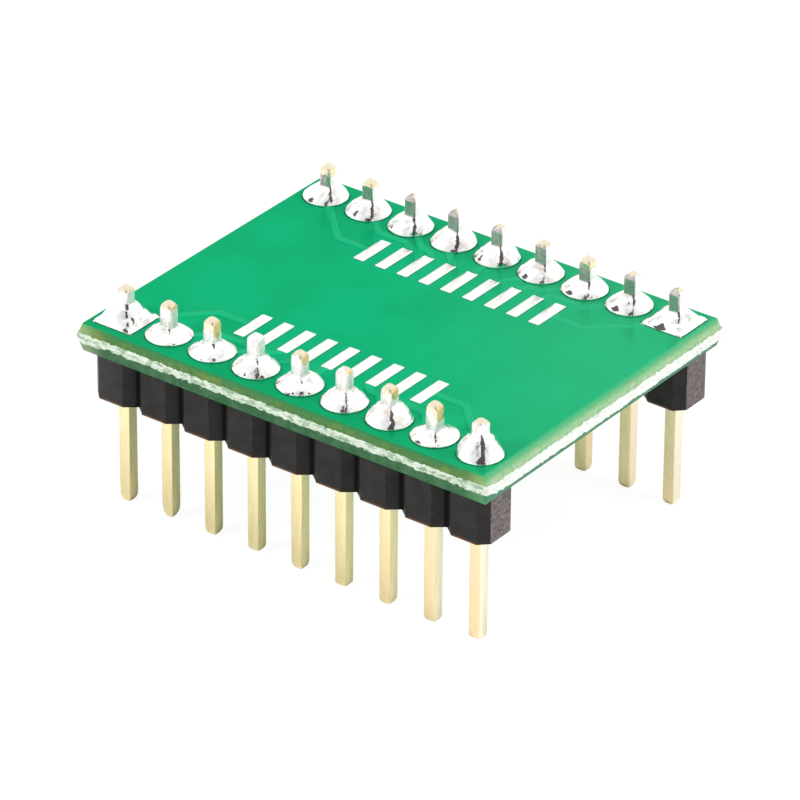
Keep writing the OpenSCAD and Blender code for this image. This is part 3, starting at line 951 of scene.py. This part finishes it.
# Header strips: octagonal cells with softened edges, and a torn face at either end.
def strip_outline():
    """Outline of a strip round its own centre line, counter-clockwise; end faces are cut finely."""
    shoulder = PITCH / 2 - NOTCH_FLAT / 2
    low = []
    for k in range(ROW_PINS):
        x = (k - (ROW_PINS - 1) / 2) * PITCH
        low += [(x - shoulder, -(STRIP_HALF - CHAMFER)), (x - shoulder + CHAMFER, -STRIP_HALF),
                (x + shoulder - CHAMFER, -STRIP_HALF), (x + shoulder, -(STRIP_HALF - CHAMFER))]
    end = [(low[-1][0], y) for y in np.linspace(-(STRIP_HALF - CHAMFER), STRIP_HALF - CHAMFER, 22)[1:-1]]
    high = [(x, -y) for x, y in reversed(low)]
    start = [(-x, -y) for x, y in end]
    return low + end + high + start


def make_strip(name, node, row):
    outline = strip_outline()
    count = len(outline)
    points = np.array(outline)
    before, after = np.roll(points, 1, axis=0), np.roll(points, -1, axis=0)

    def normal(a, b):
        d = b - a
        d = d / np.linalg.norm(d, axis=1)[:, None]
        return np.stack([d[:, 1], -d[:, 0]], axis=-1)

    n1, n2 = normal(before, points), normal(points, after)
    miter = (n1 + n2) / (1 + np.sum(n1 * n2, axis=1))[:, None]
    soft = 0.035
    heights = [(STRIP_BOTTOM, soft), (STRIP_BOTTOM + soft * 0.3, soft * 0.35), (STRIP_BOTTOM + soft, 0)]
    heights += [(z, 0) for z in np.linspace(STRIP_BOTTOM + soft, BOARD_BOTTOM - soft, 26)[1:]]
    heights += [(BOARD_BOTTOM - soft * 0.3, soft * 0.35), (BOARD_BOTTOM, soft)]
    end_x = points[:, 0].max()
    is_end = np.abs(np.abs(points[:, 0]) - end_x) < 1e-6
    shift = BACK_SHIFT if row > 0 else 0.0
    verts = []
    for z, inset in heights:
        for (x, y), (mx, my), torn in zip(points, miter, is_end):
            px, py = x - mx * inset, y - my * inset
            if torn and abs(y) < STRIP_HALF - CHAMFER - 0.01:
                px += math.copysign(0.022 * wobble(y * 2.6, z * 2.6, x + 3 * row, 4) - 0.006, x)
            verts.append((px + shift, row * ROW_Y + py, z))
    faces = rings_to_faces(len(heights), count)
    kinds = []
    for f in faces:
        centre_x = abs(sum(verts[i][0] for i in f) / 4 - shift)
        kinds.append(1 if centre_x > end_x - 0.05 and all(is_end[i % count] for i in f) else 0)
    shoulder = PITCH / 2 - NOTCH_FLAT / 2
    hole = PIN_W / 2 + 0.012
    for z, inset, up in ((STRIP_BOTTOM, soft, False), (BOARD_BOTTOM, soft, True)):
        for k in range(ROW_PINS):
            x0 = (k - (ROW_PINS - 1) / 2) * PITCH
            left = -PITCH / 2 if k else -shoulder
            right = PITCH / 2 if k < ROW_PINS - 1 else shoulder
            inner = STRIP_HALF - CHAMFER - inset
            trim = inset * 0.41
            outer = [(right, inner), (shoulder - CHAMFER - trim, STRIP_HALF - inset), (CHAMFER - shoulder + trim, STRIP_HALF - inset), (left, inner),
                     (left, -inner), (CHAMFER - shoulder + trim, -(STRIP_HALF - inset)), (shoulder - CHAMFER - trim, -(STRIP_HALF - inset)), (right, -inner)]
            if k:
                outer.insert(4, (left, 0.0))
            inner_ring = []
            for ox, oy in outer:
                scale = hole / max(abs(ox), abs(oy))
                inner_ring.append((ox * scale, oy * scale))
            base = len(verts)
            verts += [(x0 + x + shift, row * ROW_Y + y, z) for x, y in outer + inner_ring]
            m = len(outer)
            for i in range(m):
                j = (i + 1) % m
                quad = [base + i, base + j, base + m + j, base + m + i]
                faces.append(quad if up else quad[::-1])
                kinds.append(0)
    piece(name, verts, faces, [PLASTIC, FRACTURE], [node], kinds, 30)


make_laminate()
make_edge_fibres()
make_mask("mask_top_coat", "mask_top", 0.072, True)
make_mask("mask_bottom_coat", "mask_bottom", 0.2, False)
for n in range(1, PIN_COUNT + 1):
    make_net(n)
    make_solder(n)
    make_pin(n)
make_strip("header_front", "strip_front", -1)
make_strip("header_back", "strip_back", 1)


# Camera, solved from the photograph.
camera_data = bpy.data.cameras.new("camera")
camera_data.lens = 280.57
camera_data.sensor_width = 36
camera_data.clip_start = 0.01
camera_data.clip_end = 20
camera = bpy.data.objects.new("camera", camera_data)
right = Vector((0.80090378, 0.59875802, 0.00647927))
up = Vector((-0.30269538, 0.39550429, 0.86715158))
back = Vector((0.51665138, -0.69646622, 0.49800216))
turn = Matrix((right, up, back)).transposed().to_4x4()
camera.matrix_world = Matrix.Translation((0.150362, -0.202684, 0.150365)) @ turn
bpy.context.scene.collection.objects.link(camera)
bpy.context.scene.camera = camera


def seen_or_mirrored(tree, mirrored):
    """1 for a camera ray, the given share for a ray off glossy metal or through glass, 0 for diffuse light."""
    path = tree.nodes.new("ShaderNodeLightPath")
    glossy = tree.nodes.new("ShaderNodeMath")
    glossy.operation = "MAXIMUM"
    tree.links.new(path.outputs["Is Glossy Ray"], glossy.inputs[0])
    tree.links.new(path.outputs["Is Transmission Ray"], glossy.inputs[1])
    share = tree.nodes.new("ShaderNodeMath")
    share.operation = "MULTIPLY"
    share.inputs[1].default_value = mirrored
    tree.links.new(glossy.outputs[0], share.inputs[0])
    both = tree.nodes.new("ShaderNodeMath")
    both.operation = "MAXIMUM"
    tree.links.new(path.outputs["Is Camera Ray"], both.inputs[0])
    tree.links.new(share.outputs[0], both.inputs[1])
    return both.outputs[0]


def make_floor():
    size = 3.0
    mesh = bpy.data.meshes.new("floor")
    mesh.from_pydata([(-size, -size, 0), (size, -size, 0), (size, size, 0), (-size, size, 0)], [], [[0, 1, 2, 3]])
    floor = bpy.data.objects.new("floor", mesh)
    bpy.context.scene.collection.objects.link(floor)
    mat = bpy.data.materials.new("studio_floor")
    mat.use_nodes = True
    tree = mat.node_tree
    tree.nodes.clear()
    out = tree.nodes.new("ShaderNodeOutputMaterial")
    mix = tree.nodes.new("ShaderNodeMixShader")
    paper = tree.nodes.new("ShaderNodeBsdfDiffuse")
    paper_shade = tree.nodes.new("ShaderNodeMapRange")
    paper_shade.inputs["To Min"].default_value = 0.92
    paper_shade.inputs["To Max"].default_value = 1.15
    tree.links.new(seen_or_mirrored(tree, 1.0), paper_shade.inputs["Value"])
    tree.links.new(paper_shade.outputs[0], paper.inputs["Color"])
    glow = tree.nodes.new("ShaderNodeEmission")
    glow.inputs["Color"].default_value = (1, 1, 1, 1)
    glow.inputs["Strength"].default_value = 1.05
    share = tree.nodes.new("ShaderNodeMath")
    share.operation = "MULTIPLY"
    share.inputs[1].default_value = 0.86
    tree.links.new(seen_or_mirrored(tree, 0.0), share.inputs[0])
    tree.links.new(share.outputs[0], mix.inputs[0])
    tree.links.new(paper.outputs[0], mix.inputs[1])
    tree.links.new(glow.outputs[0], mix.inputs[2])
    tree.links.new(mix.outputs[0], out.inputs[0])
    mesh.materials.append(mat)


def make_world():
    """White to the camera. For the rest it is a soft white room with the dark shape of a camera and
    its stand in front, narrow and upright, and a dimmer wall behind them."""
    world = bpy.data.worlds.new("studio")
    bpy.context.scene.world = world
    world.use_nodes = True
    tree = world.node_tree
    tree.nodes.clear()
    out = tree.nodes.new("ShaderNodeOutputWorld")
    ground = tree.nodes.new("ShaderNodeBackground")
    strength = tree.nodes.new("ShaderNodeMapRange")
    strength.inputs["To Min"].default_value = 0.66
    strength.inputs["To Max"].default_value = 1.0
    tree.links.new(seen_or_mirrored(tree, 1.0), strength.inputs["Value"])
    tree.links.new(strength.outputs[0], ground.inputs["Strength"])
    coords = tree.nodes.new("ShaderNodeTexCoord")

    def along(direction):
        dot = tree.nodes.new("ShaderNodeVectorMath")
        dot.operation = "DOT_PRODUCT"
        dot.inputs[1].default_value = Vector(direction).normalized()
        tree.links.new(coords.outputs["Generated"], dot.inputs[0])
        return dot.outputs["Value"]

    def ramp(value, low, high, to_low, to_high):
        node = tree.nodes.new("ShaderNodeMapRange")
        node.interpolation_type = "SMOOTHSTEP"
        for name, number in (("From Min", low), ("From Max", high), ("To Min", to_low), ("To Max", to_high)):
            node.inputs[name].default_value = number
        tree.links.new(value, node.inputs["Value"])
        return node.outputs[0]

    def combine(operation, a, b=None):
        node = tree.nodes.new("ShaderNodeMath")
        node.operation = operation
        tree.links.new(a, node.inputs[0])
        if b is not None:
            tree.links.new(b, node.inputs[1])
        return node.outputs[0]

    aside = ramp(combine("ABSOLUTE", along((0.80, 0.60, 0.0))), 0.12, 0.2, 0.0, 1.0)
    away = ramp(along((0.517, -0.696, 0.6)), 0.86, 0.9, 1.0, 0.0)
    stand = ramp(combine("MAXIMUM", aside, away), 0.0, 1.0, 0.03, 1.0)
    wall = ramp(along((0.517, -0.696, 0.45)), 0.5, 0.97, 1.1, 0.8)
    shade = combine("MULTIPLY", stand, wall)
    path = tree.nodes.new("ShaderNodeLightPath")
    seen = tree.nodes.new("ShaderNodeMix")
    seen.data_type = "FLOAT"
    tree.links.new(path.outputs["Is Camera Ray"], seen.inputs["Factor"])
    tree.links.new(shade, seen.inputs[2])
    seen.inputs[3].default_value = 1.0
    tree.links.new(seen.outputs[0], ground.inputs["Color"])
    tree.links.new(ground.outputs[0], out.inputs[0])


def make_lamp(name, position, size, power):
    data = bpy.data.lights.new(name, "AREA")
    data.shape = "SQUARE"
    data.size = size
    data.energy = power
    lamp = bpy.data.objects.new(name, data)
    bpy.context.scene.collection.objects.link(lamp)
    lamp.location = position
    lamp.rotation_euler = (Vector((0, 0, 0.009)) - Vector(position)).to_track_quat("-Z", "Y").to_euler()
    lamp.visible_glossy = False


make_floor()
make_world()
make_lamp("left", (-0.26, -0.44, 0.3), 0.22, 1.6)
make_lamp("right", (0.5, 0.1, 0.27), 0.26, 2.1)
bpy.context.scene.view_settings.view_transform = "Standard"
